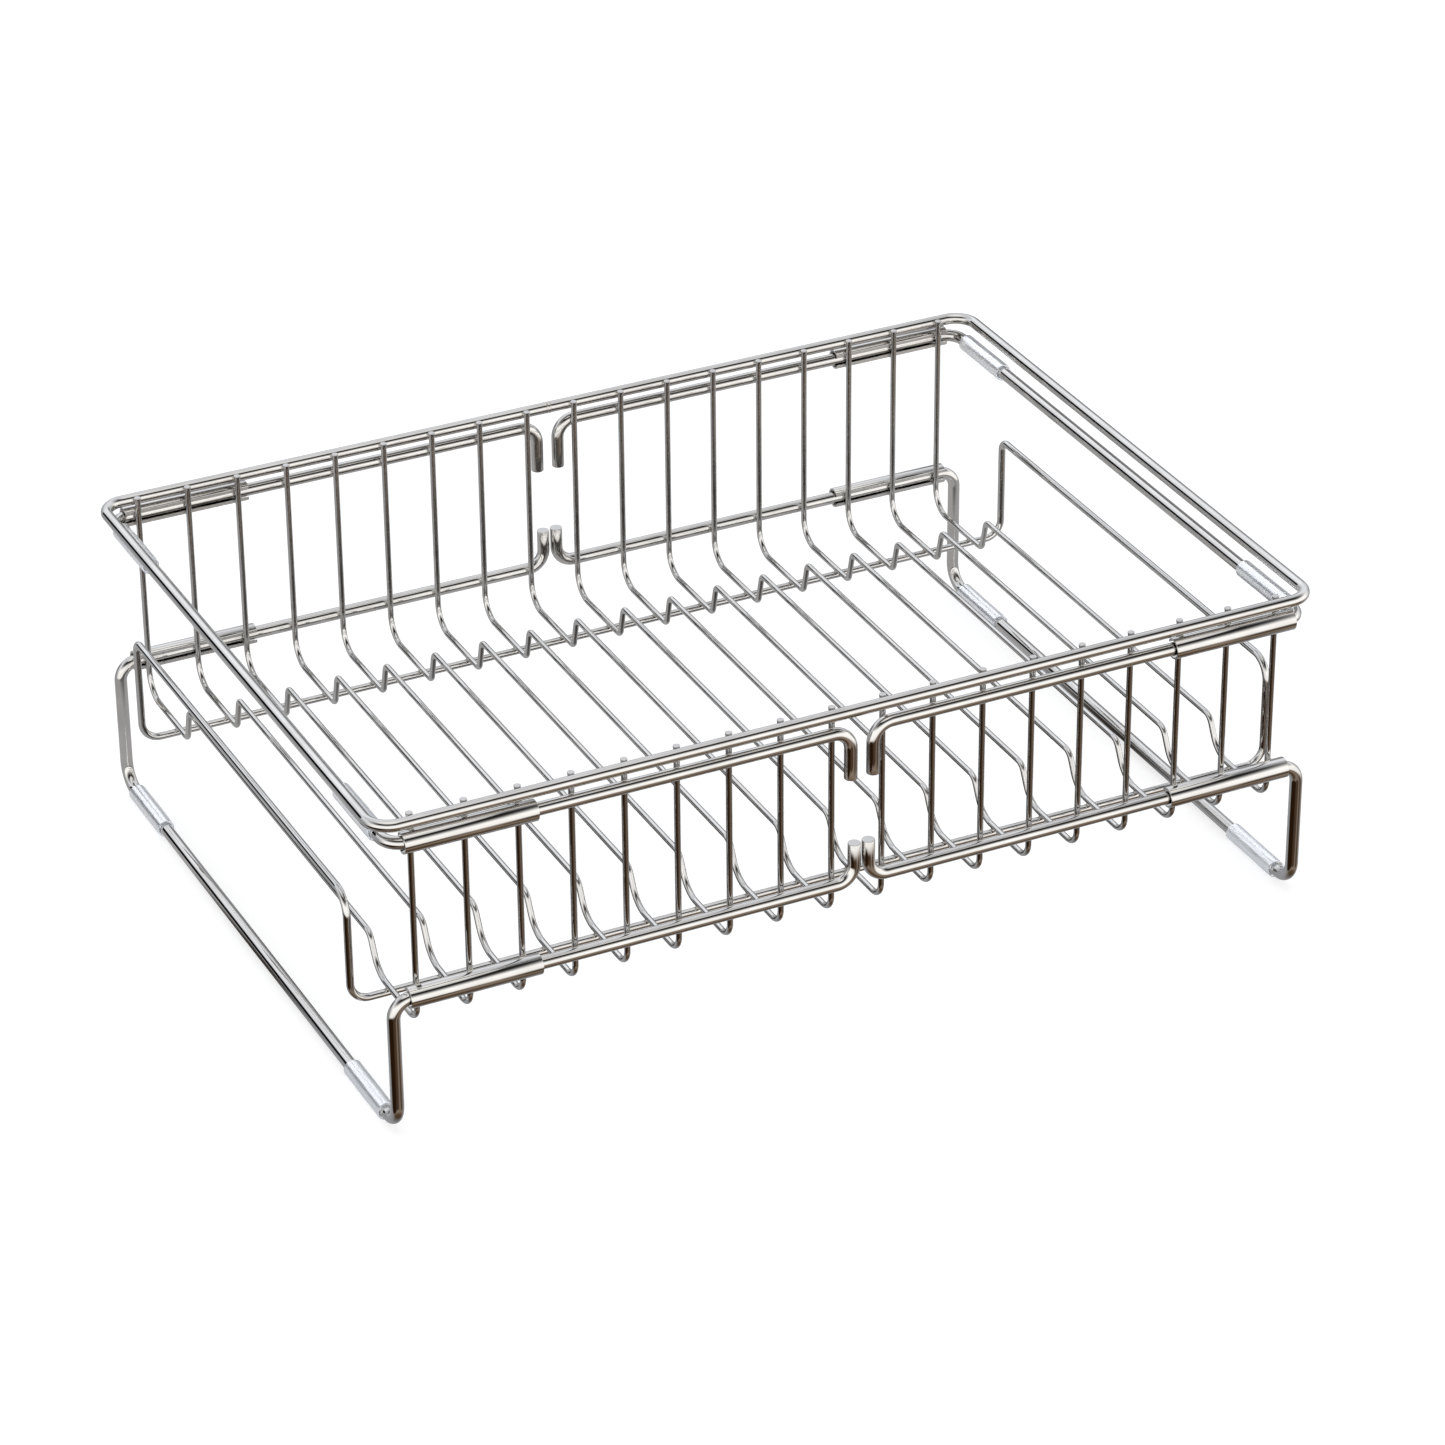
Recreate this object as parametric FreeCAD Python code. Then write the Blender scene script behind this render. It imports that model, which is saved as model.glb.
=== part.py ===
"""Dish drying rack bent and welded from stainless steel wire, with four sliding frames.

The basket is a row of U-shaped cross wires welded inside a rim and onto a base loop.
Eight open sleeves are welded to the outside of the upright runs of the cross wires.
Two upper slide frames pull out sideways to reach over a sink, and two leg frames slide
in the lower sleeves and carry the basket. Soft tubes on the frames keep it from slipping.

X runs along the length of the rack, Y from front to back, Z up. The origin is on the
surface that the rack stands on, under the middle of the basket. Lengths are millimetres.
"""
import FreeCAD, Part
import math
import os

# Stock sizes: every piece but the sleeves and the tubes is round bar.
WIRE_DIAMETER = 2.8
LOOP_DIAMETER = 3.5
RIM_DIAMETER = 5.5
ROD_DIAMETER = 6.0
TUBE_DIAMETER = 8.6
SLEEVE_BORE = 8.0
SLEEVE_WALL = 0.9

# How far welded pieces sink into each other, and the gap that lets a rod pass the wires.
WELD_SINK = 0.1
SLIDING_GAP = 0.4

# The cross wires: one profile, repeated along X.
WIRE_COUNT = 18
WIRE_PITCH = 25.0
WALL_Y = 161.7
WIRE_TOP = 156.8
FLOOR_DROP = 88.4
TROUGH_DROP = 105.0
FLOOR_BACK_Y = 108.3
FLOOR_FRONT_Y = -110.0
BACK_TROUGH_Y = 112.3
FRONT_TROUGH_Y = -118.5
BACK_WALL_BEND = 12.0
BACK_STEP_BEND = 3.5
FRONT_STEP_TOP_BEND = 6.0
FRONT_STEP_FOOT_BEND = 14.0
FRONT_WALL_BEND = 8.0

# The rim around the tops of the cross wires.
RIM_DROP = 2.4
RIM_HALF_LENGTH = 229.8
RIM_CORNER_BEND = 11.0

# The base loop: a run under each trough and an arch at each end of the basket.
LOOP_HALF_LENGTH = 230.3
LOOP_BACK_Y = 125.5
LOOP_FRONT_Y = -129.5
LOOP_ARCH_DROP = 54.8
LOOP_FOOT_BEND = 9.0
LOOP_BACK_BEND = 5.0
LOOP_FRONT_BEND = 10.5

# The two levels of rods, and the sleeves that hold them.
UPPER_ROD_DROP = 11.2
LOWER_ROD_DROP = 88.5
SLEEVE_LENGTH = 62.0
SLEEVE_MIDDLE_X = WIRE_PITCH * (WIRE_COUNT - 3) / 2

# The upper slide frames.
SLIDE_HALF_LENGTH = 224.3
SLIDE_HOOK_X = 5.5
SLIDE_HOOK_DROP = 35.5
SLIDE_BEND = 9.0

# The leg frames.
LEG_HALF_LENGTH = 225.5
LEG_HOOK_X = 3.5
LEG_HOOK_DROP = 69.0
LEG_BEND = 9.0
LEG_GROUND_BEND = 11.0

# The tubes, two to a frame.
TUBE_LENGTH = 38.5
TUBE_MIDDLE_Y = 134.2

# Places worked out from the dimensions above.
WALL_FACE_Y = WALL_Y + WIRE_DIAMETER / 2
ROD_Y = WALL_FACE_Y + SLIDING_GAP + ROD_DIAMETER / 2
RIM_Y = WALL_FACE_Y + RIM_DIAMETER / 2 - WELD_SINK
FLOOR_Z = WIRE_TOP - FLOOR_DROP
TROUGH_Z = WIRE_TOP - TROUGH_DROP
RIM_Z = WIRE_TOP - RIM_DROP
LOOP_FOOT_Z = TROUGH_Z - (WIRE_DIAMETER + LOOP_DIAMETER) / 2 + WELD_SINK
LOOP_ARCH_Z = WIRE_TOP - LOOP_ARCH_DROP
UPPER_ROD_Z = WIRE_TOP - UPPER_ROD_DROP
LOWER_ROD_Z = WIRE_TOP - LOWER_ROD_DROP
GROUND_ROD_Z = TUBE_DIAMETER / 2

SIDES = {"left": -1, "right": 1}
FACES = {"front": -1, "back": 1}


def corner_arc(before, corner, after, bend):
    """The arc of radius bend that is tangent to both runs at a corner of a path."""
    arriving = (corner - before).normalize()
    leaving = (after - corner).normalize()
    half_turn = arriving.getAngle(leaving) / 2
    inward = (leaving - arriving).normalize()
    trim = bend * math.tan(half_turn)
    start = corner - arriving * trim
    middle = corner + inward * (bend / math.cos(half_turn) - bend)
    end = corner + leaving * trim
    return Part.Arc(start, middle, end)


def bent_path(points, bends, closed=False):
    """A wire of straight runs through the points, joined by tangent arcs of the given radii.

    An open path has no bend at its first and last point. A closed path has one at every
    point, and starts in the middle of the run that arrives at its first point.
    """
    corners = [FreeCAD.Vector(*point) for point in points]
    if closed:
        seam = (corners[-1] + corners[0]) * 0.5
        corners = [seam] + corners + [seam]
    edges = []
    here = corners[0]
    for index, bend in enumerate(bends):
        arc = corner_arc(*corners[index:index + 3], bend)
        edges.append(Part.LineSegment(here, arc.value(arc.FirstParameter)).toShape())
        edges.append(arc.toShape())
        here = arc.value(arc.LastParameter)
    edges.append(Part.LineSegment(here, corners[-1]).toShape())
    return Part.Wire(edges)


def bent_bar(path, diameter):
    """A round bar bent along a path, with flat ends square to it."""
    first = path.OrderedEdges[0]
    start = first.valueAt(first.FirstParameter)
    along = first.tangentAt(first.FirstParameter)
    section = Part.Wire(Part.makeCircle(diameter / 2, start, along))
    return path.makePipeShell([section], True, False)


def cross_wire():
    """One U-shaped wire in the plane X = 0: a wall, a trough, the raised floor, and back up."""
    profile = [
        (WALL_Y, WIRE_TOP),
        (WALL_Y, TROUGH_Z),
        (BACK_TROUGH_Y, TROUGH_Z),
        (FLOOR_BACK_Y, FLOOR_Z),
        (FLOOR_FRONT_Y, FLOOR_Z),
        (FRONT_TROUGH_Y, TROUGH_Z),
        (-WALL_Y, TROUGH_Z),
        (-WALL_Y, WIRE_TOP),
    ]
    bends = [
        BACK_WALL_BEND,
        BACK_STEP_BEND,
        BACK_STEP_BEND,
        FRONT_STEP_TOP_BEND,
        FRONT_STEP_FOOT_BEND,
        FRONT_WALL_BEND,
    ]
    path = bent_path([(0, y, z) for y, z in profile], bends)
    return bent_bar(path, WIRE_DIAMETER)


def rim():
    """The heavy hoop, its ends butt-welded in the middle of the back run."""
    x, y, z = RIM_HALF_LENGTH, RIM_Y, RIM_Z
    corners = [(-x, y, z), (-x, -y, z), (x, -y, z), (x, y, z)]
    return bent_bar(bent_path(corners, [RIM_CORNER_BEND] * 4, closed=True), RIM_DIAMETER)


def base_loop():
    """One closed loop: a run under each trough, joined by an arch at each end of the basket."""
    x, back, front = LOOP_HALF_LENGTH, LOOP_BACK_Y, LOOP_FRONT_Y
    corners = [
        (-x, back, LOOP_FOOT_Z),
        (-x, back, LOOP_ARCH_Z),
        (-x, front, LOOP_ARCH_Z),
        (-x, front, LOOP_FOOT_Z),
        (x, front, LOOP_FOOT_Z),
        (x, front, LOOP_ARCH_Z),
        (x, back, LOOP_ARCH_Z),
        (x, back, LOOP_FOOT_Z),
    ]
    bends = [
        LOOP_FOOT_BEND,
        LOOP_BACK_BEND,
        LOOP_FRONT_BEND,
        LOOP_FOOT_BEND,
        LOOP_FOOT_BEND,
        LOOP_FRONT_BEND,
        LOOP_BACK_BEND,
        LOOP_FOOT_BEND,
    ]
    return bent_bar(bent_path(corners, bends, closed=True), LOOP_DIAMETER)


def sleeve(face, side, height):
    """A sheet sleeve around a rod, open towards the wires and welded to three of them."""
    outer_radius = SLEEVE_BORE / 2 + SLEEVE_WALL
    start = FreeCAD.Vector(side * SLEEVE_MIDDLE_X - SLEEVE_LENGTH / 2, face * ROD_Y, height)
    along = FreeCAD.Vector(1, 0, 0)
    outside = Part.makeCylinder(outer_radius, SLEEVE_LENGTH, start, along)
    bore = Part.makeCylinder(SLEEVE_BORE / 2, SLEEVE_LENGTH, start, along)
    weld_face_y = WALL_FACE_Y - WELD_SINK
    mouth = Part.makeBox(SLEEVE_LENGTH, weld_face_y, 2 * outer_radius)
    mouth_y = 0 if face > 0 else -weld_face_y
    mouth.translate(FreeCAD.Vector(start.x, mouth_y, height - outer_radius))
    return outside.cut(bore).cut(mouth).Solids[0]


def frame_rod(side, half_length, hook_x, hook_tip_z, rod_z, end_corners, end_bends, hook_bend):
    """A rod with a hook at the middle of each long side, and end corners listed at the back.

    The same corners follow in the opposite order at the front, so the frame is a U.
    """
    hook = [(side * hook_x, ROD_Y, hook_tip_z), (side * hook_x, ROD_Y, rod_z)]
    end = [(side * half_length, ROD_Y, z) for z in end_corners]
    back_half = hook + end
    front_half = [(x, -y, z) for x, y, z in reversed(back_half)]
    half_bends = [hook_bend] + end_bends
    bends = half_bends + half_bends[::-1]
    return bent_bar(bent_path(back_half + front_half, bends), ROD_DIAMETER)


def slide_frame(side):
    """A flat U that pulls out under the rim, its two hooks turned down in front of the wires."""
    tip_z = WIRE_TOP - SLIDE_HOOK_DROP
    return frame_rod(
        side, SLIDE_HALF_LENGTH, SLIDE_HOOK_X, tip_z, UPPER_ROD_Z,
        [UPPER_ROD_Z], [SLIDE_BEND], SLIDE_BEND,
    )


def leg_frame(side):
    """Two rails in the lower sleeves that turn down into legs, joined by a run on the ground."""
    tip_z = WIRE_TOP - LEG_HOOK_DROP
    return frame_rod(
        side, LEG_HALF_LENGTH, LEG_HOOK_X, tip_z, LOWER_ROD_Z,
        [LOWER_ROD_Z, GROUND_ROD_Z], [LEG_BEND, LEG_GROUND_BEND], LEG_BEND,
    )


def grip_tube(side, face, half_length, height):
    """A soft tube pushed onto the end run of a frame."""
    start = FreeCAD.Vector(side * half_length, face * TUBE_MIDDLE_Y - TUBE_LENGTH / 2, height)
    along = FreeCAD.Vector(0, 1, 0)
    outside = Part.makeCylinder(TUBE_DIAMETER / 2, TUBE_LENGTH, start, along)
    return outside.cut(Part.makeCylinder(ROD_DIAMETER / 2, TUBE_LENGTH, start, along))


def save(node, solid):
    if not solid.isValid() or len(solid.Solids) != 1:
        raise ValueError(node + " is not one valid solid")
    solid.exportStep("parts/" + node + ".step")


os.makedirs("parts", exist_ok=True)

save("rim", rim())
save("base_loop", base_loop())

first_wire_x = -WIRE_PITCH * (WIRE_COUNT - 1) / 2
for number in range(WIRE_COUNT):
    wire = cross_wire()
    wire.translate(FreeCAD.Vector(first_wire_x + number * WIRE_PITCH, 0, 0))
    save("cross_wire_%02d" % (number + 1), wire)

for side_name, side in SIDES.items():
    save(side_name + "_slide_frame", slide_frame(side))
    save(side_name + "_leg_frame", leg_frame(side))
    for face_name, face in FACES.items():
        place = face_name + "_" + side_name
        save("upper_sleeve_" + place, sleeve(face, side, UPPER_ROD_Z))
        save("lower_sleeve_" + place, sleeve(face, side, LOWER_ROD_Z))
        save("slide_tube_" + place, grip_tube(side, face, SLIDE_HALF_LENGTH, UPPER_ROD_Z))
        save("foot_tube_" + place, grip_tube(side, face, LEG_HALF_LENGTH, GROUND_ROD_Z))
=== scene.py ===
"""Looks of the dish drying rack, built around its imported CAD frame. Lengths are metres.

Every CAD node is replaced by a finer piece of the same size: bent bars with die lines and
sawn ends, rolled sleeves with broken edges, and vinyl tubes. The welds are extra pieces.
"""

import math

import bpy
from mathutils import Matrix, Vector


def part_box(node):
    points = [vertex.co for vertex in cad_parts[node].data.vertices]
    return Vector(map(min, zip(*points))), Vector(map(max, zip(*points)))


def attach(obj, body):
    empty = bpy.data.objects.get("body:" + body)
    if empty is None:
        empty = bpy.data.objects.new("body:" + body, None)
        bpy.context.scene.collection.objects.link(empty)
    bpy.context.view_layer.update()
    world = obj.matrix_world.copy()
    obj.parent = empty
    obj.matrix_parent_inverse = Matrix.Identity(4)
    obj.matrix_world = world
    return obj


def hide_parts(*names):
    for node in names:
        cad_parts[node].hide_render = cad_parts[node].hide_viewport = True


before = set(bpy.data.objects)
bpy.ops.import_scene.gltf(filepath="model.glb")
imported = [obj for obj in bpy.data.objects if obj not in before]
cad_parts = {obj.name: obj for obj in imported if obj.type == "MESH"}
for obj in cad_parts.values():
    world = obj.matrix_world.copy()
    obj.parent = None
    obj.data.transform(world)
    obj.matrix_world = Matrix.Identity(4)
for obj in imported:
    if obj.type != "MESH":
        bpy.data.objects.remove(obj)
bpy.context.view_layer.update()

MM = 0.001

# Bend radii of the bars, and the sizes and corners that no box gives.
BACK_WALL_BEND = 12 * MM
BACK_STEP_BEND = 3.5 * MM
FRONT_STEP_TOP_BEND = 6 * MM
FRONT_STEP_FOOT_BEND = 14 * MM
FRONT_WALL_BEND = 8 * MM
FLOOR_DROP = 88.4 * MM
FLOOR_BACK_Y = 108.3 * MM
FLOOR_FRONT_Y = -110 * MM
BACK_TROUGH_Y = 112.3 * MM
FRONT_TROUGH_Y = -118.5 * MM
RIM_CORNER_BEND = 11 * MM
LOOP_FOOT_BEND = 9 * MM
LOOP_BACK_BEND = 5 * MM
LOOP_FRONT_BEND = 10.5 * MM
HOOK_BEND = 9 * MM
FRAME_END_BEND = 9 * MM
GROUND_BEND = 11 * MM
SLEEVE_WALL = 0.9 * MM
WELD_SINK = 0.1 * MM

LOOP_RADIUS = 1.75 * MM


def middle_of(node):
    """The middle of a node's box."""
    lo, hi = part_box(node)
    return (lo + hi) / 2


# Bar radii, read off the boxes. A sliding frame's rods run through the middle of its sleeves.
upper_rod_z = middle_of("upper_sleeve_back_left").z
lower_rod_z = middle_of("lower_sleeve_back_left").z
WIRE_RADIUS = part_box("cross_wire_01")[1].x - middle_of("cross_wire_01").x
RIM_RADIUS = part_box("rim")[1].z - middle_of("rim").z
ROD_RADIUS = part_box("left_slide_frame")[1].z - upper_rod_z

# Mesh fineness and small finishing sizes.
BAR_SIDES = 28
WIRE_SIDES = 20
ARC_STEP = math.radians(5)
STRAIGHT_STEP = 12 * MM
CUT_CHAMFER = 0.3 * MM
SHEET_CHAMFER = 0.14 * MM
BORE_CLEARANCE = 0.03 * MM
TIP_FLARE = 0.24 * MM
TIP_LENGTH = 2.0 * MM
SEAM_HEIGHT = 0.13 * MM
SEAM_HALF_WIDTH = 2.0 * MM
SEAM_DIP = 0.05 * MM
SLEEVE_STEPS = 40
TUBE_SIDES = 40
TUBE_LIP = 0.35 * MM
TUBE_BELLY = 0.06 * MM
WELD_COLUMNS = 28
RIM_WELD_THROAT = 0.75 * MM
LOOP_WELD_THROAT = 0.6 * MM
TACK_RISE = 3.45 * MM
TACK_SIZE = (1.45 * MM, 0.95 * MM, 0.75 * MM)
UV_NAME = "bar"

SIDES = {"left": -1, "right": 1}
FACES = {"front": -1, "back": 1}
WIRE_NODES = sorted(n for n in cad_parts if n.startswith("cross_wire_"))


# ---------------------------------------------------------------- paths

def arc_stations(before, corner, after, bend):
    """Points and tangents along the arc of radius bend that rounds a corner of a path."""
    arriving = (corner - before).normalized()
    leaving = (after - corner).normalized()
    turn = arriving.angle(leaving)
    trim = bend * math.tan(turn / 2)
    axis = arriving.cross(leaving).normalized()
    inward = axis.cross(arriving)
    centre = corner - arriving * trim + inward * bend
    count = max(4, math.ceil(turn / ARC_STEP))
    stations = []
    for i in range(count + 1):
        swing = Matrix.Rotation(turn * i / count, 3, axis)
        stations.append((centre - swing @ inward * bend, swing @ arriving))
    return stations


def straight_stations(start, end):
    """Evenly spaced points and tangents inside a straight run, its two ends left out."""
    run = end - start
    count = max(1, math.ceil(run.length / STRAIGHT_STEP))
    along = run.normalized()
    return [(start + run * (i / count), along) for i in range(1, count)]


def bent_path(points, bends, closed=False):
    """Stations (point, tangent) along straight runs joined by tangent arcs.

    A closed path starts and ends in the middle of the run that arrives at its first point.
    """
    corners = [Vector(p) for p in points]
    if closed:
        seam = (corners[-1] + corners[0]) / 2
        corners = [seam] + corners + [seam]
    first_along = (corners[1] - corners[0]).normalized()
    last_along = (corners[-1] - corners[-2]).normalized()
    stations = [(corners[0], first_along)]
    for i, bend in enumerate(bends):
        arc = arc_stations(*corners[i:i + 3], bend)
        stations += straight_stations(stations[-1][0], arc[0][0]) + arc
    stations += straight_stations(stations[-1][0], corners[-1])
    stations.append((corners[-1], last_along))
    return stations


def with_tips(stations, length, count=5):
    """The same path with closer stations over a length at both ends."""
    (start, first_along), (end, last_along) = stations[0], stations[-1]
    steps = [length * (i + 1) / count for i in range(count)]
    head = [(start + first_along * d, first_along) for d in steps]
    tail = [(end - last_along * d, last_along) for d in steps[::-1]]
    return stations[:1] + head + stations[1:-1] + tail + stations[-1:]


# ---------------------------------------------------------------- meshes

def finish_mesh(name, verts, faces, uvs, body, materials, face_materials=None):
    """Makes one smooth-shaded piece with its bar coordinates, riding on a body."""
    mesh = bpy.data.meshes.new(name)
    mesh.from_pydata(verts, [], faces)
    layer = mesh.uv_layers.new(name=UV_NAME)
    for loop, uv in zip(layer.data, (uv for face in uvs for uv in face)):
        loop.uv = uv
    for material in materials:
        mesh.materials.append(material)
    if face_materials:
        mesh.polygons.foreach_set("material_index", face_materials)
    mesh.validate()
    mesh.shade_smooth()
    obj = bpy.data.objects.new(name, mesh)
    bpy.context.scene.collection.objects.link(obj)
    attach(obj, body)
    return obj


def patch(k, count, start, end):
    """Bar coordinates of face k of count round a bar, between two distances along it."""
    near, far = k / count, (k + 1) / count
    return [(near, start), (far, start), (far, end), (near, end)]


def transported_rings(stations):
    """A sideways pair of unit vectors at each station that doesn't twist along the path."""
    along = stations[0][1]
    side = along.orthogonal().normalized()
    pairs = []
    for _, tangent in stations:
        axis = along.cross(tangent)
        if axis.length > 1e-9:
            side = Matrix.Rotation(along.angle(tangent), 3, axis.normalized()) @ side
        side = (side - tangent * side.dot(tangent)).normalized()
        pairs.append((side, tangent.cross(side)))
        along = tangent
    return pairs


def bar(name, stations, radius, sides, body, materials, closed=False, swell=None):
    """A round bar along the stations. An open one has sawn ends with a small chamfer.

    swell gives the radius to add, from the distance along the bar and its whole length.
    The sawn faces take the second material.
    """
    pairs = transported_rings(stations)
    lengths = [0.0]
    for (a, _), (b, _) in zip(stations, stations[1:]):
        lengths.append(lengths[-1] + (b - a).length)
    rings = [(point, pair, radius + (swell(u, lengths[-1]) if swell else 0), u)
             for (point, _), pair, u in zip(stations, pairs, lengths)]
    if not closed:
        rings = chamfered(rings, stations)
    verts, faces, uvs, kinds = [], [], [], []
    for point, (right, up), r, _ in rings:
        for k in range(sides):
            angle = 2 * math.pi * k / sides
            verts.append(point + (right * math.cos(angle) + up * math.sin(angle)) * r)
    count = len(rings)
    for i in range(count - 1):
        for k in range(sides):
            n = (k + 1) % sides
            faces.append((i * sides + k, i * sides + n, (i + 1) * sides + n, (i + 1) * sides + k))
            uvs.append(patch(k, sides, rings[i][3], rings[i + 1][3]))
            kinds.append(0)
    if closed:
        weld_seam(verts, faces, sides)
    else:
        for i in (0, count - 1):
            centre = len(verts)
            verts.append(rings[i][0])
            for k in range(sides):
                n = (k + 1) % sides
                edge = (n, k) if i == 0 else (k, n)
                faces.append((*(i * sides + a for a in edge), centre))
                uvs.append([(0.5 + 0.5 * math.cos(2 * math.pi * a / sides),
                             0.5 + 0.5 * math.sin(2 * math.pi * a / sides)) for a in edge]
                           + [(0.5, 0.5)])
                kinds.append(1)
    obj = finish_mesh(name, verts, faces, uvs, body, materials, kinds)
    mark_sharp_faces(obj)
    return obj


def chamfered(rings, stations):
    """The rings of an open bar, with a flat face and a rounded chamfer at each end."""
    chamfer = min(CUT_CHAMFER, rings[0][2] * 0.25)
    head, tail = [], []
    for depth, inset in ((0.0, 1.0), (0.3, 0.3), (1.0, 0.0)):
        for end, into, made in ((0, 1, head), (-1, -1, tail)):
            point, pair, radius, u = rings[end]
            step = into * depth * chamfer
            moved = point + stations[end][1] * step
            made.append((moved, pair, radius - inset * chamfer, u + step))
    return head + rings[1:-1] + tail[::-1]


def weld_seam(verts, faces, sides):
    """Joins a closed bar's last ring to its first one, at the turn where they line up."""
    first = verts[:sides]
    last = verts[-sides:]
    shift = min(range(sides), key=lambda s: (last[s] - first[0]).length)
    base = len(verts) - sides
    del verts[base:]
    for i, face in enumerate(faces):
        faces[i] = tuple((v - base - shift) % sides if v >= base else v for v in face)


def mark_sharp_faces(obj):
    """Shades the cut faces flat, so that they don't blend into the bar or the sheet."""
    for polygon in obj.data.polygons:
        if polygon.material_index == 1:
            polygon.use_smooth = False


def blob(centre, normal, along, size, ripple, verts, faces, uvs):
    """Adds a small squashed bead of weld metal to a mesh that is being made.

    size is the half length along the bar, across it and along the normal.
    """
    across = normal.cross(along)
    rows, columns = 8, 14
    base = len(verts)
    for i in range(rows + 1):
        tilt = math.pi * i / rows
        for k in range(columns):
            turn = 2 * math.pi * k / columns
            lump = 1 + 0.07 * math.sin(3 * turn + ripple) * math.sin(2 * tilt + ripple)
            offset = (along * (size[0] * math.sin(tilt) * math.cos(turn))
                      + across * (size[1] * math.sin(tilt) * math.sin(turn))
                      + normal * (size[2] * math.cos(tilt)))
            verts.append(centre + offset * lump)
    for i in range(rows):
        for k in range(columns):
            n = (k + 1) % columns
            faces.append((base + i * columns + k, base + (i + 1) * columns + k,
                          base + (i + 1) * columns + n, base + i * columns + n))
            uvs.append(((k / columns, i * MM), (k / columns, (i + 1) * MM),
                        ((k + 1) / columns, (i + 1) * MM), ((k + 1) / columns, i * MM)))


def fillet(contact, normal, axis_a, radius_a, radius_b, throat, ripple, verts, faces, uvs):
    """Adds the weld fillet around the contact of two bars that cross at right angles.

    Bar a lies under the contact and bar b over it, as normal points. The fillet fills the
    gap between them out to where it is throat wide, and is hollow like a squeezed-out weld.
    """
    axis_b = normal.cross(axis_a)
    columns = WELD_COLUMNS
    thinner = min(radius_a, radius_b)
    # Share of the way from bar a to bar b, share of the reach, and millimetres sunk into a,
    # or into b where it is negative.
    profile = [(0.0, 0.30, 0.5), (0.0, 1.05, 0.5), (0.08, 1.34, 0.06), (0.25, 1.12, 0.0),
               (0.5, 1.0, 0.0), (0.75, 1.12, 0.0), (0.92, 1.34, -0.06), (1.0, 1.05, -0.5),
               (1.0, 0.30, -0.5)]

    def height(rho, turn, of_a):
        """Height over the contact of one bar's surface, rho away from it."""
        reach = rho * (math.sin(turn) if of_a else math.cos(turn))
        radius = radius_a if of_a else radius_b
        drop = radius - math.sqrt(max(radius * radius - reach * reach, 0.0))
        return (WELD_SINK / 2 - drop) if of_a else (drop - WELD_SINK / 2)

    base = len(verts)
    for share, spread, sink in profile:
        for k in range(columns):
            turn = 2 * math.pi * k / columns
            low, high = 0.0, thinner * 0.98
            for _ in range(18):
                rho = (low + high) / 2
                if height(rho, turn, False) - height(rho, turn, True) < throat:
                    low = rho
                else:
                    high = rho
            wave = 1 + 0.05 * math.sin(2 * turn + ripple) + 0.03 * math.sin(5 * turn - ripple)
            rho = min(low * spread * wave, thinner * 0.985)
            floor, roof = height(rho, turn, True), height(rho, turn, False)
            level = floor + (roof - floor) * share - sink * MM
            across = axis_a * math.cos(turn) + axis_b * math.sin(turn)
            verts.append(contact + across * rho + normal * level)
    rows = len(profile)
    for i in range(rows - 1):
        for k in range(columns):
            n = (k + 1) % columns
            faces.append((base + i * columns + k, base + i * columns + n,
                          base + (i + 1) * columns + n, base + (i + 1) * columns + k))
            uvs.append([(a / columns, b * 0.3 * MM) for a, b in
                        ((k, i), (k + 1, i), (k + 1, i + 1), (k, i + 1))])
    for i, order in ((0, -1), (rows - 1, 1)):
        ring = [base + i * columns + k for k in range(columns)][::order]
        faces.append(tuple(ring))
        uvs.append([(0.5, 0.0)] * columns)


def sleeve_shell(name, start, length, side_y, radius, wall, mouth, body, materials):
    """A rolled sheet sleeve along X with its mouth towards the wires and its edges broken."""
    steps = SLEEVE_STEPS
    edge = SHEET_CHAMFER

    def profile(inset):
        """The C of the section, its outside then its inside, drawn in by the inset."""
        outer, inner = radius - inset, radius - wall + inset
        gap = mouth - inset
        outer_end = math.pi - math.acos(gap / outer)
        inner_end = math.pi - math.acos(gap / inner)
        outside = [(outer, -outer_end + 2 * outer_end * i / steps) for i in range(steps + 1)]
        inside = [(inner, -inner_end + 2 * inner_end * i / steps) for i in range(steps + 1)]
        return outside + inside[::-1]

    count = 2 * (steps + 1)
    cuts = [(0.0, edge), (edge * 0.3, edge * 0.3), (edge, 0.0), (length / 2, 0.0),
            (length - edge, 0.0), (length - edge * 0.3, edge * 0.3), (length, edge)]
    verts, faces, uvs, kinds = [], [], [], []
    for x, inset in cuts:
        for r, angle in profile(inset):
            verts.append(start + Vector((x, side_y * r * math.cos(angle), r * math.sin(angle))))
    for i in range(len(cuts) - 1):
        for k in range(count):
            n = (k + 1) % count
            faces.append((i * count + k, i * count + n, (i + 1) * count + n, (i + 1) * count + k))
            uvs.append(patch(k, count, cuts[i][0], cuts[i + 1][0]))
            kinds.append(1 if k in (steps, count - 1) else 0)
    last = (len(cuts) - 1) * count
    for k in range(steps):
        inner = count - 1 - k
        faces.append((k + 1, k, inner, inner - 1))
        faces.append((last + k, last + k + 1, last + inner - 1, last + inner))
        uvs += [patch(k, steps, 0.0, 1.0)] * 2
        kinds += [1, 1]
    if side_y < 0:
        faces = [face[::-1] for face in faces]
        uvs = [list(uv)[::-1] for uv in uvs]
    obj = finish_mesh(name, verts, faces, uvs, body, materials, kinds)
    mark_sharp_faces(obj)
    return obj


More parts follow.
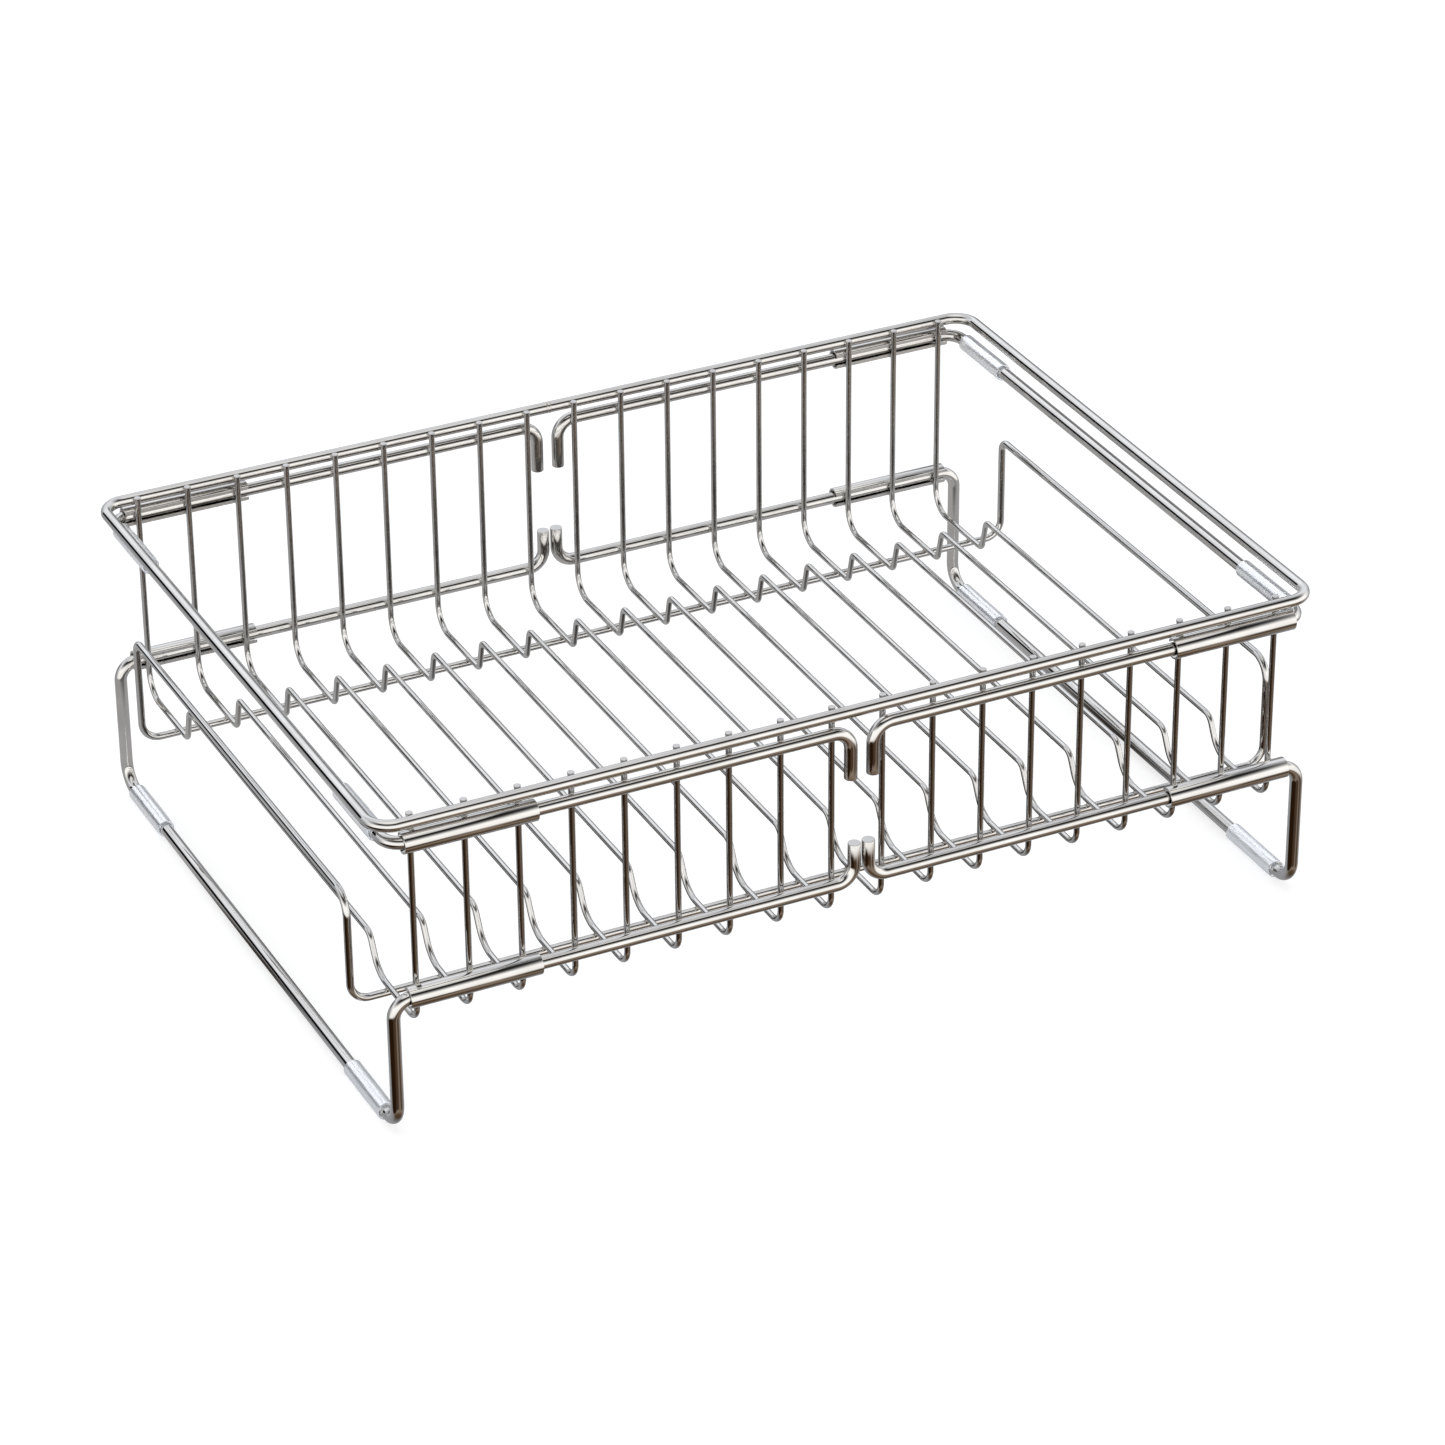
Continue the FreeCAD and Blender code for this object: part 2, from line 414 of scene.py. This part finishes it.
def vinyl_tube(name, start, length, radius, bore, body, materials):
    """A soft tube along Y with rounded lips and a very slight barrel shape."""
    lip = TUBE_LIP
    sides = TUBE_SIDES
    outline = []
    for i in range(13):
        share = i / 12
        belly = TUBE_BELLY * math.sin(6 * share + start.x * 90) * math.sin(math.pi * share)
        outline.append((lip + (length - 2 * lip) * share, radius - TUBE_BELLY + belly))
    corner = [(0.3, 0.0), (0.08, 0.3), (0.0, 1.0)]
    lead = [(depth * lip, radius - TUBE_BELLY - inset * lip) for depth, inset in corner]
    trail = [(length - y, r) for y, r in lead]
    bore_lead = [(lip * 0.6, bore), (0.0, bore + lip * 0.6)]
    bore_trail = [(length - y, r) for y, r in bore_lead[::-1]]
    section = outline + trail + bore_trail + bore_lead + lead[::-1]
    verts, faces, uvs = [], [], []
    for y, r in section:
        for k in range(sides):
            angle = 2 * math.pi * k / sides
            verts.append(start + Vector((r * math.cos(angle), y, r * math.sin(angle))))
    count = len(section)
    for i in range(count):
        j = (i + 1) % count
        for k in range(sides):
            n = (k + 1) % sides
            faces.append((i * sides + k, i * sides + n, j * sides + n, j * sides + k))
            uvs.append(patch(k, sides, i * MM, (i + 1) * MM))
    return finish_mesh(name, verts, faces, uvs, body, materials)


# ---------------------------------------------------------------- materials

def add_node(tree, kind, values=None, **settings):
    """A node with its settings, and its unlinked inputs set by name or number."""
    node = tree.nodes.new(kind)
    for key, value in settings.items():
        setattr(node, key, value)
    for key, value in (values or {}).items():
        node.inputs[key].default_value = value
    return node


def bar_coordinates(tree):
    """Coordinates that run once round a bar without a seam and in metres along it."""
    uv = add_node(tree, "ShaderNodeUVMap", uv_map=UV_NAME)
    split = add_node(tree, "ShaderNodeSeparateXYZ")
    tree.links.new(uv.outputs[0], split.inputs[0])
    turn = add_node(tree, "ShaderNodeMath", {1: 2 * math.pi}, operation="MULTIPLY")
    tree.links.new(split.outputs["X"], turn.inputs[0])
    join = add_node(tree, "ShaderNodeCombineXYZ")
    for operation, output in (("COSINE", "X"), ("SINE", "Y")):
        wave = add_node(tree, "ShaderNodeMath", operation=operation)
        tree.links.new(turn.outputs[0], wave.inputs[0])
        tree.links.new(wave.outputs[0], join.inputs[output])
    tree.links.new(split.outputs["Y"], join.inputs["Z"])
    return join.outputs[0]


def noise(tree, vector, scale, detail=4.0, roughness=0.55, stretch=None):
    """Noise on a vector, which may be stretched first. Returns its factor."""
    if stretch:
        mapped = add_node(tree, "ShaderNodeVectorMath", {1: stretch}, operation="MULTIPLY")
        tree.links.new(vector, mapped.inputs[0])
        vector = mapped.outputs[0]
    made = add_node(tree, "ShaderNodeTexNoise",
                    {"Scale": scale, "Detail": detail, "Roughness": roughness})
    tree.links.new(vector, made.inputs["Vector"])
    return made.outputs[0]


def remap(tree, value, low, high, out_low, out_high):
    """The value moved from one range to another and held inside it."""
    made = add_node(tree, "ShaderNodeMapRange",
                    {"From Min": low, "From Max": high, "To Min": out_low, "To Max": out_high})
    tree.links.new(value, made.inputs["Value"])
    return made.outputs["Result"]


def blend_colours(tree, factor, a, b):
    """From a at 0 to b at 1. Each is a plain colour or the output of another node."""
    made = add_node(tree, "ShaderNodeMix", data_type="RGBA")
    tree.links.new(factor, made.inputs[0])
    for socket, colour in ((made.inputs[6], a), (made.inputs[7], b)):
        if isinstance(colour, tuple):
            socket.default_value = (*colour, 1)
        else:
            tree.links.new(colour, socket)
    return made.outputs[2]


def new_material(name):
    """A material with its node tree and its shader."""
    material = bpy.data.materials.new(name)
    material.use_nodes = True
    tree = material.node_tree
    shader = tree.nodes["Principled BSDF"]
    return material, tree, shader


def bright_steel(name, roughness, tones, line_depth, smudge):
    """Drawn and polished stainless steel: fine die lines and hairs, smudges and flecks.

    tones are its darker and its lighter colour. smudge is the roughness that smudges add.
    """
    material, tree, shader = new_material(name)
    shader.inputs["Metallic"].default_value = 1.0
    shader.inputs["Anisotropic"].default_value = 0.35
    around = bar_coordinates(tree)
    lines = noise(tree, around, 1.0, 3.0, 0.55, (3.0, 3.0, 8.0))
    hairs = noise(tree, around, 1.0, 2.0, 0.6, (16.0, 16.0, 30.0))
    place = add_node(tree, "ShaderNodeTexCoord").outputs["Object"]
    cloud = noise(tree, place, 46.0, 5.0, 0.6)
    flecks = noise(tree, place, 900.0, 2.0, 0.5)
    tone = blend_colours(tree, remap(tree, cloud, 0.35, 0.65, 0, 1), *tones)
    tree.links.new(tone, shader.inputs["Base Color"])
    gloss = add_node(tree, "ShaderNodeMath", operation="ADD")
    tree.links.new(remap(tree, cloud, 0.3, 0.7, roughness, roughness + smudge), gloss.inputs[0])
    tree.links.new(remap(tree, flecks, 0.62, 0.8, 0.0, smudge * 0.5), gloss.inputs[1])
    tree.links.new(gloss.outputs[0], shader.inputs["Roughness"])
    bump = add_node(tree, "ShaderNodeBump", {"Strength": 1.0, "Distance": line_depth})
    relief = add_node(tree, "ShaderNodeMath", {1: 0.12}, operation="MULTIPLY_ADD")
    tree.links.new(hairs, relief.inputs[0])
    tree.links.new(lines, relief.inputs[2])
    tree.links.new(relief.outputs[0], bump.inputs["Height"])
    tree.links.new(bump.outputs[0], shader.inputs["Normal"])
    tangent = add_node(tree, "ShaderNodeTangent", direction_type="UV_MAP", uv_map=UV_NAME)
    tree.links.new(tangent.outputs[0], shader.inputs["Tangent"])
    return material


def sawn_steel(name):
    """The cut face of a bar or a sheet: straight saw marks and a duller grey."""
    material, tree, shader = new_material(name)
    shader.inputs["Metallic"].default_value = 1.0
    place = add_node(tree, "ShaderNodeTexCoord").outputs["Object"]
    marks = noise(tree, place, 1.0, 3.0, 0.6, (5200.0, 900.0, 900.0))
    tree.links.new(blend_colours(tree, marks, (0.52, 0.51, 0.50), (0.74, 0.73, 0.72)),
                   shader.inputs["Base Color"])
    tree.links.new(remap(tree, marks, 0.3, 0.7, 0.28, 0.46), shader.inputs["Roughness"])
    bump = add_node(tree, "ShaderNodeBump", {"Strength": 0.6, "Distance": 0.02 * MM})
    tree.links.new(marks, bump.inputs["Height"])
    tree.links.new(bump.outputs[0], shader.inputs["Normal"])
    return material


def weld_steel(name):
    """Weld metal after polishing: lumpy, a little rougher, with a faint straw tint."""
    material, tree, shader = new_material(name)
    shader.inputs["Metallic"].default_value = 1.0
    place = add_node(tree, "ShaderNodeTexCoord").outputs["Object"]
    lumps = noise(tree, place, 1300.0, 3.0, 0.55)
    tint = noise(tree, place, 160.0, 2.0, 0.5)
    tree.links.new(blend_colours(tree, remap(tree, tint, 0.4, 0.65, 0, 1),
                                 (0.60, 0.585, 0.565), (0.60, 0.555, 0.49)),
                   shader.inputs["Base Color"])
    tree.links.new(remap(tree, lumps, 0.3, 0.7, 0.17, 0.33), shader.inputs["Roughness"])
    bump = add_node(tree, "ShaderNodeBump", {"Strength": 0.8, "Distance": 0.05 * MM})
    tree.links.new(lumps, bump.inputs["Height"])
    tree.links.new(bump.outputs[0], shader.inputs["Normal"])
    return material


def clear_vinyl(name):
    """Milky, slightly blue soft vinyl that lets the rod inside show through."""
    material, tree, shader = new_material(name)
    shader.inputs["Transmission Weight"].default_value = 0.72
    shader.inputs["IOR"].default_value = 1.46
    around = bar_coordinates(tree)
    place = add_node(tree, "ShaderNodeTexCoord").outputs["Object"]
    haze = noise(tree, place, 120.0, 4.0, 0.6)
    scuffs = noise(tree, around, 1.0, 3.0, 0.6, (7.0, 7.0, 60.0))
    tree.links.new(blend_colours(tree, remap(tree, haze, 0.35, 0.65, 0, 1),
                                 (0.76, 0.80, 0.87), (0.84, 0.87, 0.92)),
                   shader.inputs["Base Color"])
    tree.links.new(remap(tree, scuffs, 0.35, 0.7, 0.16, 0.34), shader.inputs["Roughness"])
    bump = add_node(tree, "ShaderNodeBump", {"Strength": 0.5, "Distance": 0.05 * MM})
    tree.links.new(haze, bump.inputs["Height"])
    tree.links.new(bump.outputs[0], shader.inputs["Normal"])
    return material


ROD_TONES = ((0.58, 0.565, 0.545), (0.66, 0.645, 0.625))
WIRE_TONES = ((0.57, 0.56, 0.545), (0.64, 0.63, 0.615))
rod_steel = bright_steel("rod_steel_bright", 0.05, ROD_TONES, 0.004 * MM, 0.025)
rim_steel = bright_steel("rim_steel_bright", 0.05, ROD_TONES, 0.004 * MM, 0.025)
wire_steel = bright_steel("wire_steel_bright", 0.05, WIRE_TONES, 0.0015 * MM, 0.025)
loop_steel = bright_steel("loop_steel_bright", 0.05, WIRE_TONES, 0.0015 * MM, 0.025)
sleeve_steel = bright_steel("sleeve_steel_rolled", 0.06, ROD_TONES, 0.006 * MM, 0.04)
cut_steel = sawn_steel("sawn_steel")
bead_steel = weld_steel("weld_steel")
vinyl = clear_vinyl("clear_vinyl")


# ---------------------------------------------------------------- the basket

rim_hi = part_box("rim")[1]
rim_x = rim_hi.x - RIM_RADIUS
rim_y = rim_hi.y - RIM_RADIUS
rim_z = rim_hi.z - RIM_RADIUS
rim_path = bent_path([(-rim_x, rim_y, rim_z), (-rim_x, -rim_y, rim_z),
                      (rim_x, -rim_y, rim_z), (rim_x, rim_y, rim_z)],
                     [RIM_CORNER_BEND] * 4, closed=True)
rim_bar = bar("rim_bar", rim_path, RIM_RADIUS, BAR_SIDES, "basket",
              [rim_steel, cut_steel], closed=True)
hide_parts("rim")

loop_lo, loop_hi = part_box("base_loop")
loop_x = loop_hi.x - LOOP_RADIUS
loop_back = loop_hi.y - LOOP_RADIUS
loop_front = loop_lo.y + LOOP_RADIUS
loop_foot = loop_lo.z + LOOP_RADIUS
loop_arch = loop_hi.z - LOOP_RADIUS
loop_points = [
    (-loop_x, loop_back, loop_foot), (-loop_x, loop_back, loop_arch),
    (-loop_x, loop_front, loop_arch), (-loop_x, loop_front, loop_foot),
    (loop_x, loop_front, loop_foot), (loop_x, loop_front, loop_arch),
    (loop_x, loop_back, loop_arch), (loop_x, loop_back, loop_foot),
]
half_loop = [LOOP_FOOT_BEND, LOOP_BACK_BEND, LOOP_FRONT_BEND, LOOP_FOOT_BEND]
loop_bar = bar("base_loop_bar", bent_path(loop_points, half_loop + half_loop[::-1], closed=True),
               LOOP_RADIUS, WIRE_SIDES, "basket", [loop_steel, cut_steel],
               closed=True)
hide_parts("base_loop")

wire_lo, wire_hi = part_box(WIRE_NODES[0])
wall_y = wire_hi.y - WIRE_RADIUS
wire_top = wire_hi.z
trough_z = wire_lo.z + WIRE_RADIUS
floor_z = wire_top - FLOOR_DROP
wire_profile = [
    (wall_y, wire_top), (wall_y, trough_z), (BACK_TROUGH_Y, trough_z), (FLOOR_BACK_Y, floor_z),
    (FLOOR_FRONT_Y, floor_z), (FRONT_TROUGH_Y, trough_z), (-wall_y, trough_z), (-wall_y, wire_top),
]
wire_bends = [BACK_WALL_BEND, BACK_STEP_BEND, BACK_STEP_BEND,
              FRONT_STEP_TOP_BEND, FRONT_STEP_FOOT_BEND, FRONT_WALL_BEND]


def tip_flare(u, length):
    """The electrode presses each wire's tips a little wider than the wire."""
    near = 1 - min(u, length - u, TIP_LENGTH) / TIP_LENGTH
    return TIP_FLARE * near * near * (3 - 2 * near)


wire_xs = []
for node in WIRE_NODES:
    x = middle_of(node).x
    wire_xs.append(x)
    path = with_tips(bent_path([(x, y, z) for y, z in wire_profile], wire_bends), TIP_LENGTH)
    wire = bar(node.replace("cross_wire", "wire"), path, WIRE_RADIUS, WIRE_SIDES, "basket",
               [wire_steel, cut_steel], swell=tip_flare)
    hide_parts(node)


# ---------------------------------------------------------------- frames, tubes and sleeves

def frame_points(side, node, end_zs):
    """Corners of a sliding frame's path: a hook, a long run and an end, at back and front."""
    lo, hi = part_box(node)
    y = hi.y - ROD_RADIUS
    near, far = (hi.x, lo.x) if side < 0 else (lo.x, hi.x)
    hook_x = near + side * ROD_RADIUS
    end_x = far - side * ROD_RADIUS
    back = [(hook_x, y, end_zs[0]), (hook_x, y, end_zs[1])] + [(end_x, y, z) for z in end_zs[1:]]
    return back + [(x, -y, z) for x, y, z in back[::-1]]


for side_name, side in SIDES.items():
    slide, leg = side_name + "_slide_frame", side_name + "_leg_frame"
    slide_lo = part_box(slide)[0]
    leg_lo, leg_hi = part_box(leg)
    ground_z = leg_lo.z + ROD_RADIUS
    for node, body, end_zs, bends in (
        (slide, side_name + "_slide", [slide_lo.z, upper_rod_z], [HOOK_BEND, FRAME_END_BEND]),
        (leg, side_name + "_leg", [leg_hi.z, lower_rod_z, ground_z],
         [HOOK_BEND, FRAME_END_BEND, GROUND_BEND]),
    ):
        path = bent_path(frame_points(side, node, end_zs), bends + bends[::-1])
        rod = bar(node.replace("frame", "rod"), path, ROD_RADIUS, BAR_SIDES, body,
                  [rod_steel, cut_steel])
        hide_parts(node)
    for face_name, face in FACES.items():
        place = face_name + "_" + side_name
        for kind, body in (("slide_tube_", "_slide"), ("foot_tube_", "_leg")):
            lo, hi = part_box(kind + place)
            middle = middle_of(kind + place)
            tube = vinyl_tube(kind + place + "_vinyl", Vector((middle.x, lo.y, middle.z)),
                              hi.y - lo.y, (hi.x - lo.x) / 2, ROD_RADIUS + BORE_CLEARANCE,
                              side_name + body, [vinyl])
            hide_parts(kind + place)
        for kind in ("upper_sleeve_", "lower_sleeve_"):
            lo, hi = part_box(kind + place)
            radius = (hi.z - lo.z) / 2
            outer_y = hi.y if face > 0 else lo.y
            centre_y = outer_y - face * radius
            mouth = abs(centre_y) - min(abs(lo.y), abs(hi.y))
            start = Vector((lo.x, centre_y, (lo.z + hi.z) / 2))
            shell = sleeve_shell(kind + place + "_shell", start, hi.x - lo.x, face, radius,
                                 SLEEVE_WALL, mouth, "basket",
                                 [sleeve_steel, cut_steel])
            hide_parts(kind + place)


# ---------------------------------------------------------------- welds

def weld_piece(name, build):
    """One piece that holds all the welds of a kind. build adds them to its lists."""
    verts, faces, uvs = [], [], []
    build(verts, faces, uvs)
    return finish_mesh(name, verts, faces, uvs, "basket", [bead_steel])


def rim_welds(verts, faces, uvs):
    """Each wire's two welds to the inside of the rim."""
    for i, x in enumerate(wire_xs):
        for face in FACES.values():
            contact = Vector((x, face * (wall_y + WIRE_RADIUS - WELD_SINK / 2), rim_z))
            fillet(contact, Vector((0, face, 0)), Vector((0, 0, 1)), WIRE_RADIUS, RIM_RADIUS,
                   RIM_WELD_THROAT, i * 1.7 + face, verts, faces, uvs)


def loop_welds(verts, faces, uvs):
    """Each wire's two welds to the base loop under its troughs."""
    for i, x in enumerate(wire_xs):
        for y in (loop_front, loop_back):
            contact = Vector((x, y, trough_z - WIRE_RADIUS + WELD_SINK / 2))
            fillet(contact, Vector((0, 0, 1)), Vector((1, 0, 0)), LOOP_RADIUS, WIRE_RADIUS,
                   LOOP_WELD_THROAT, i * 2.3 + y * 40, verts, faces, uvs)


def sleeve_welds(verts, faces, uvs):
    """Tack welds from both lips of each sleeve to the wires that it crosses."""
    for side_name in SIDES:
        for face_name, face in FACES.items():
            for kind in ("upper_sleeve_", "lower_sleeve_"):
                lo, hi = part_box(kind + face_name + "_" + side_name)
                lip_y = face * min(abs(lo.y), abs(hi.y))
                middle_z = (lo.z + hi.z) / 2
                for i, x in enumerate(wire_xs):
                    if not lo.x < x < hi.x:
                        continue
                    for rise in (-1, 1):
                        centre = Vector((x, lip_y, middle_z + rise * TACK_RISE))
                        blob(centre, Vector((0, face, 0)), Vector((1, 0, 0)), TACK_SIZE,
                             i + rise, verts, faces, uvs)


def seam_swell(u, length):
    """Profile of the rim's butt weld: two low shoulders, and ends that dip under the bar."""
    across = abs(2 * u / length - 1)
    shoulder = math.exp(-((across - 0.45) / 0.22) ** 2)
    return SEAM_HEIGHT * shoulder - SEAM_DIP * across


seam_path = [(Vector((SEAM_HALF_WIDTH * (1 - i / 10), rim_y, rim_z)), Vector((-1, 0, 0)))
             for i in range(21)]
bar("rim_seam", seam_path, RIM_RADIUS, BAR_SIDES, "basket", [bead_steel, cut_steel],
    swell=seam_swell)
weld_piece("rim_welds", rim_welds)
weld_piece("loop_welds", loop_welds)
weld_piece("sleeve_welds", sleeve_welds)


# ---------------------------------------------------------------- stage

def ellipse_mask(tree, vector, middle, half, soft):
    """1 inside an ellipse on the vector's X and Y, 0 outside, with a soft edge."""
    moved = add_node(tree, "ShaderNodeVectorMath", {1: (*middle, 0)}, operation="SUBTRACT")
    tree.links.new(vector, moved.inputs[0])
    scaled = add_node(tree, "ShaderNodeVectorMath", {1: (1 / half[0], 1 / half[1], 0)},
                      operation="MULTIPLY")
    tree.links.new(moved.outputs[0], scaled.inputs[0])
    size = add_node(tree, "ShaderNodeVectorMath", operation="LENGTH")
    tree.links.new(scaled.outputs[0], size.inputs[0])
    edge = add_node(tree, "ShaderNodeMapRange",
                    {"From Min": 1 + soft, "From Max": 1 - soft, "To Min": 0, "To Max": 1},
                    interpolation_type="SMOOTHSTEP")
    tree.links.new(size.outputs["Value"], edge.inputs["Value"])
    return edge.outputs["Result"]


def direction(azimuth, elevation):
    """Unit vector. Azimuth 0 is the front, -Y, and 90 the right, +X."""
    a, e = math.radians(azimuth), math.radians(elevation)
    return Vector((math.sin(a) * math.cos(e), -math.cos(a) * math.cos(e), math.sin(e)))


def light_panel(tree, colour, ray, azimuth, elevation, half_width, half_height, soft, level):
    """Paints one soft panel or dark gap of the studio over what is there already."""
    across = direction(azimuth + 90, 0)
    upward = direction(azimuth, elevation + 90)
    local = add_node(tree, "ShaderNodeCombineXYZ")
    for axis, socket, half in ((across, "X", half_width), (upward, "Y", half_height)):
        dot = add_node(tree, "ShaderNodeVectorMath",
                       {1: axis / math.sin(math.radians(half))}, operation="DOT_PRODUCT")
        tree.links.new(ray, dot.inputs[0])
        tree.links.new(dot.outputs["Value"], local.inputs[socket])
    mask = ellipse_mask(tree, local.outputs[0], (0, 0), (1, 1), soft)
    dot = add_node(tree, "ShaderNodeVectorMath", {1: direction(azimuth, elevation)},
                   operation="DOT_PRODUCT")
    tree.links.new(ray, dot.inputs[0])
    near_side = add_node(tree, "ShaderNodeMath", {1: 0.0}, operation="GREATER_THAN")
    tree.links.new(dot.outputs["Value"], near_side.inputs[0])
    both = add_node(tree, "ShaderNodeMath", operation="MULTIPLY")
    tree.links.new(mask, both.inputs[0])
    tree.links.new(near_side.outputs[0], both.inputs[1])
    return blend_colours(tree, both.outputs[0], colour, level)


def height_ramp(tree, height, stops):
    """Colour by the height of a direction, from (elevation in degrees, colour) stops."""
    ramp = add_node(tree, "ShaderNodeValToRGB")
    elements = ramp.color_ramp.elements
    while len(elements) < len(stops):
        elements.new(0.5)
    for element, (elevation, colour) in zip(elements, stops):
        element.position = (math.sin(math.radians(elevation)) + 1) / 2
        element.color = (*colour, 1)
    tree.links.new(height, ramp.inputs[0])
    return ramp.outputs[0]


def warm(level):
    """A slightly warm white of a brightness."""
    return (level, level * 0.995, level * 0.985)


def cool(level):
    """A slightly cool white of a brightness."""
    return (level * 0.965, level * 0.995, level * 1.05)


# What the steel mirrors, by direction: elevation in degrees and colour, in front and behind.
FRONT_LEVELS = [
    (-90, (0.12, 0.08, 0.05)), (-60, (0.11, 0.07, 0.04)), (-45, (0.32, 0.25, 0.19)),
    (-30, (0.34, 0.27, 0.22)), (-22, (0.75, 0.68, 0.62)), (-13, warm(1.45)),
    (18, warm(1.6)), (29, warm(0.95)), (36, warm(0.42)), (43, warm(0.12)),
    (49, warm(0.02)), (60, warm(0.02)), (64, warm(0.8)), (90, warm(1.4))]
BACK_LEVELS = [
    (-90, cool(0.4)), (-30, cool(0.45)), (-13, cool(0.42)), (0, cool(0.5)), (15, cool(0.8)),
    (24, cool(1.1)), (38, cool(1.15)), (46, cool(0.85)), (62, cool(1.0)), (90, warm(1.4))]
# Light panels and dark gaps: azimuth, elevation, half width and half height in degrees,
# softness of the edge, colour. The later ones lie over the earlier ones.
PANELS = [
    (-14, -31, 30, 9, 0.4, (0.09, 0.056, 0.033)),
    (-72, -33, 38, 16, 0.25, (0.028, 0.013, 0.005)),
    (52, -32, 16, 10, 0.5, (0.11, 0.08, 0.06)),
    (214, 11, 10, 13, 0.2, cool(0.005)),
    (145, 9, 8, 14, 0.5, cool(0.3)),
    (176, 38, 14, 9, 0.5, cool(1.35)),
]


def studio():
    """A soft studio: a bright front wall, an overhead light, dark gaps and a grey back."""
    world = bpy.data.worlds.new("studio")
    world.use_nodes = True
    bpy.context.scene.world = world
    tree = world.node_tree
    ray = add_node(tree, "ShaderNodeTexCoord").outputs["Generated"]
    split = add_node(tree, "ShaderNodeSeparateXYZ")
    tree.links.new(ray, split.inputs[0])
    height = remap(tree, split.outputs["Z"], -1, 1, 0, 1)
    front = height_ramp(tree, height, FRONT_LEVELS)
    back = height_ramp(tree, height, BACK_LEVELS)
    behind = remap(tree, split.outputs["Y"], -0.2, 0.4, 0, 1)
    colour = blend_colours(tree, behind, front, back)
    for panel in PANELS:
        colour = light_panel(tree, colour, ray, *panel)
    tree.links.new(colour, tree.nodes["Background"].inputs["Color"])


def plane(name, half, z, material):
    """A level square around the origin, linked to the scene and not attached to any body."""
    mesh = bpy.data.meshes.new(name)
    corners = [(-half, -half), (half, -half), (half, half), (-half, half)]
    mesh.from_pydata([(x, y, 0) for x, y in corners], [], [(0, 1, 2, 3)])
    mesh.materials.append(material)
    obj = bpy.data.objects.new(name, mesh)
    obj.location.z = z
    bpy.context.scene.collection.objects.link(obj)
    return obj


def floor_material():
    """A white floor, lifted a little so that only faint shadows show on it."""
    material, _, shader = new_material("white_floor")
    shader.inputs["Base Color"].default_value = (0.6, 0.6, 0.6, 1)
    shader.inputs["Roughness"].default_value = 1.0
    shader.inputs["Specular IOR Level"].default_value = 0.0
    shader.inputs["Emission Color"].default_value = (1, 1, 1, 1)
    shader.inputs["Emission Strength"].default_value = 0.62
    return material


def painted_reflection_card_material():
    """A glowing card that only the steel sees below itself: a painted reflection of a grey table
    top, with painted shade that makes it darker under the basket.
    """
    material = bpy.data.materials.new("painted_reflection_card")
    material.use_nodes = True
    tree = material.node_tree
    tree.nodes.clear()
    place = add_node(tree, "ShaderNodeTexCoord").outputs["Object"]
    # Painted shade: the card is darker inside an ellipse under the basket.
    under = ellipse_mask(tree, place, (0, -0.01), (0.32, 0.10), 0.3)
    colour = blend_colours(tree, under, (0.50, 0.50, 0.51), (0.05, 0.045, 0.04))
    # The card glows, so the steel mirrors it as a painted reflection of a table top.
    glow = add_node(tree, "ShaderNodeEmission")
    tree.links.new(colour, glow.inputs["Color"])
    clear = add_node(tree, "ShaderNodeBsdfTransparent")
    mix = add_node(tree, "ShaderNodeMixShader")
    tree.links.new(ellipse_mask(tree, place, (0, 0.22), (0.55, 0.29), 0.12), mix.inputs[0])
    tree.links.new(clear.outputs[0], mix.inputs[1])
    tree.links.new(glow.outputs[0], mix.inputs[2])
    output = add_node(tree, "ShaderNodeOutputMaterial")
    tree.links.new(mix.outputs[0], output.inputs["Surface"])
    return material


# The camera's place, and the directions of its right and of its back.
CAMERA_LENS = 132.5
CAMERA_PLACE = (-0.93271, -1.95349, 1.29918)
CAMERA_RIGHT = Vector((0.89825, -0.43942, -0.00727))
CAMERA_BACK = Vector((-0.37835, -0.78162, 0.49591))

studio()
floor = plane("floor", 12, -0.2 * MM, floor_material())
floor.visible_glossy = False
# A glowing card that only glossy rays see: a painted reflection of a table top, with painted shade
# under the basket.
card = plane("painted_reflection_card", 1.1, -1 * MM, painted_reflection_card_material())
for ray_kind in ("camera", "diffuse", "transmission", "volume_scatter", "shadow"):
    setattr(card, "visible_" + ray_kind, False)

camera_data = bpy.data.cameras.new("camera")
camera_data.lens = CAMERA_LENS
camera_data.sensor_width = 36
camera_data.clip_start = 0.1
camera_data.clip_end = 60
camera = bpy.data.objects.new("camera", camera_data)
bpy.context.scene.collection.objects.link(camera)
axes = Matrix((CAMERA_RIGHT, CAMERA_BACK.cross(CAMERA_RIGHT), CAMERA_BACK)).transposed()
camera.matrix_world = Matrix.Translation(CAMERA_PLACE) @ axes.to_4x4()
bpy.context.scene.camera = camera
bpy.context.scene.view_settings.view_transform = "Standard"
